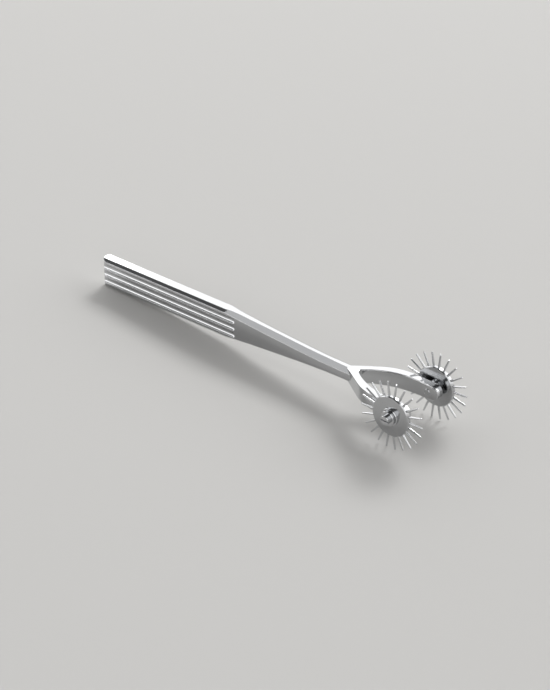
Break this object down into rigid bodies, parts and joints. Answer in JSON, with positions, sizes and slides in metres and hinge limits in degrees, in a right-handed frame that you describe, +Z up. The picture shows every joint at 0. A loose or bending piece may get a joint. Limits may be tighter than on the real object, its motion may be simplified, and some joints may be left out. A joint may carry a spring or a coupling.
{
  "type": "neurological pinwheel",
  "caption": "Flat grooved steel handle with a forked end carrying free-spinning wheels set round with radial pins, rolled over the skin to test sensation.",
  "frame": {"origin": "centre of the bounding box's footprint, on the surface that the instrument lies on", "axes": "+X from the tail of the handle towards the wheels, +Y to the left of someone looking along +X, +Z up; the axle line is parallel to Y and the handle leans 2.8 degrees down to its tail"},
  "size_m": [0.1753, 0.0368, 0.0284],
  "materials": {
    "polished_handle_steel": "mirror polish",
    "disc_steel": "bright polish",
    "turned_hardware_steel": "bright turned and polished",
    "pin_steel": "bright ground"
  },
  "bodies": {
    "handle": {"handle_fork": "polished_handle_steel", "right_spacer_washer": "turned_hardware_steel", "right_axle_screw": "turned_hardware_steel", "right_retaining_washer": "turned_hardware_steel", "left_spacer_washer": "turned_hardware_steel", "left_axle_screw": "turned_hardware_steel", "left_retaining_washer": "turned_hardware_steel"},
    "right_wheel": {"right_wheel_disc": "disc_steel", "right_hub_bush": "turned_hardware_steel", "right_pin_01": "pin_steel", "right_pin_02": "pin_steel", "right_pin_03": "pin_steel", "right_pin_04": "pin_steel", "right_pin_05": "pin_steel", "right_pin_06": "pin_steel", "right_pin_07": "pin_steel", "right_pin_08": "pin_steel", "right_pin_09": "pin_steel", "right_pin_10": "pin_steel", "right_pin_11": "pin_steel", "right_pin_12": "pin_steel", "right_pin_13": "pin_steel", "right_pin_14": "pin_steel", "right_pin_15": "pin_steel", "right_pin_16": "pin_steel", "right_pin_17": "pin_steel", "right_pin_18": "pin_steel", "right_pin_19": "pin_steel", "right_pin_20": "pin_steel", "right_pin_21": "pin_steel", "right_pin_22": "pin_steel"},
    "left_wheel": {"left_wheel_disc": "disc_steel", "left_hub_bush": "turned_hardware_steel", "left_pin_01": "pin_steel", "left_pin_02": "pin_steel", "left_pin_03": "pin_steel", "left_pin_04": "pin_steel", "left_pin_05": "pin_steel", "left_pin_06": "pin_steel", "left_pin_07": "pin_steel", "left_pin_08": "pin_steel", "left_pin_09": "pin_steel", "left_pin_10": "pin_steel", "left_pin_11": "pin_steel", "left_pin_12": "pin_steel", "left_pin_13": "pin_steel", "left_pin_14": "pin_steel", "left_pin_15": "pin_steel", "left_pin_16": "pin_steel", "left_pin_17": "pin_steel", "left_pin_18": "pin_steel", "left_pin_19": "pin_steel", "left_pin_20": "pin_steel", "left_pin_21": "pin_steel", "left_pin_22": "pin_steel"}
  },
  "joints": [
    {"name": "right_wheel_spin", "type": "hinge", "parent": "handle", "child": "right_wheel", "pos_m": [0.07346, 0, 0.01419], "axis": [0, 1, 0], "continuous": true},
    {"name": "left_wheel_spin", "type": "hinge", "parent": "handle", "child": "left_wheel", "pos_m": [0.07346, 0, 0.01419], "axis": [0, 1, 0], "continuous": true}
  ]
}
